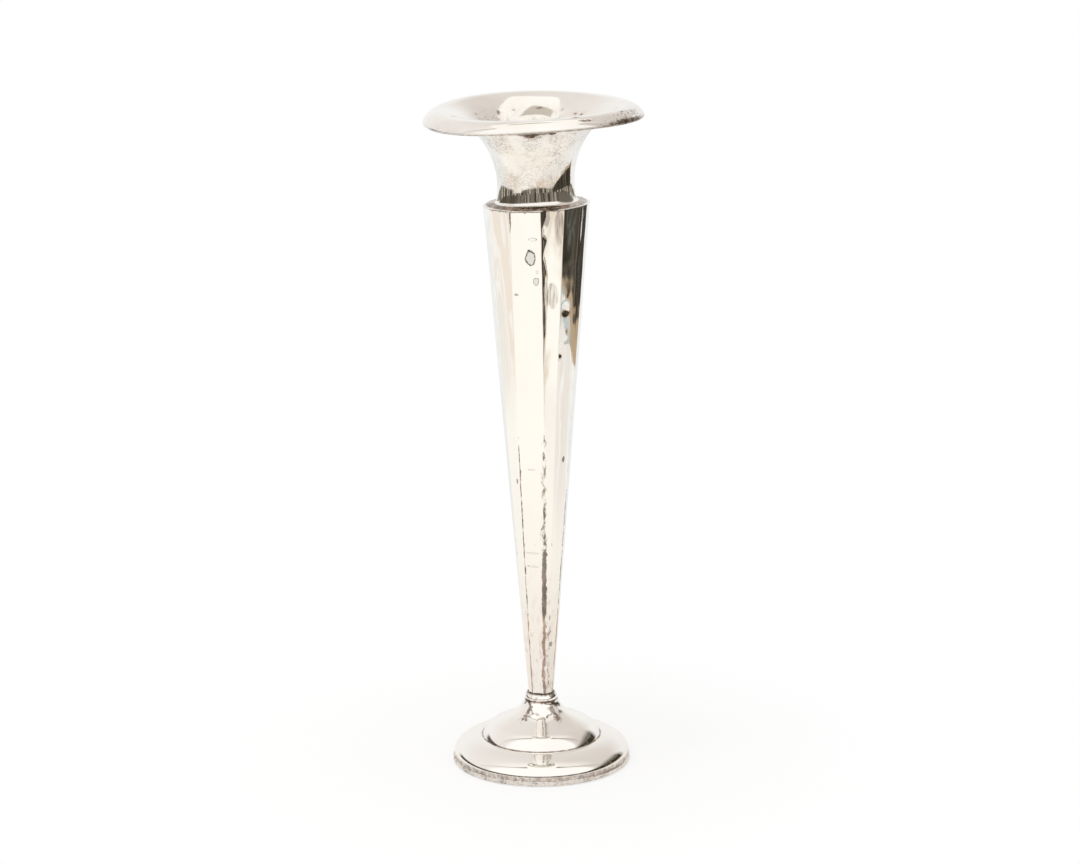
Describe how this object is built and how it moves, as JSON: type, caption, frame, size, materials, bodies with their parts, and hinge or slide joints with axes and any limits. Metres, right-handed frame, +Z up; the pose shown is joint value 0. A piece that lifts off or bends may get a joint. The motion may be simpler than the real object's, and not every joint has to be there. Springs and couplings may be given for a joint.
{
  "type": "trumpet vase",
  "caption": "Tall bud vase with a faceted tapering body, a flat shoulder, a round neck flaring to a wide turned-down mouth and a stepped, loaded round foot.",
  "frame": {"origin": "middle of the underside of the pad, on the surface that the vase stands on", "axes": "+Z up along the body's axis, -Y towards the viewer of the picture, with a corner of the body facing -Y; the mouth leans slightly towards -X"},
  "size_m": [0.0808, 0.0808, 0.2509],
  "materials": {
    "silver": "polished silver with light wear and some brown tarnish along the edges",
    "pitch": "set pitch, dull dark brown",
    "tinplate": "plain tinned plate",
    "baize": "felted wool, dark green"
  },
  "bodies": {
    "root": {"trumpet_mouth": "silver", "lip_wire": "silver", "shoulder_plate": "silver", "panelled_body": "silver", "body_floor": "silver", "collar_ring": "silver", "foot_shell": "silver", "foot_wire": "silver", "pitch_filling": "pitch", "base_plate": "tinplate", "baize_pad": "baize"}
  },
  "joints": []
}
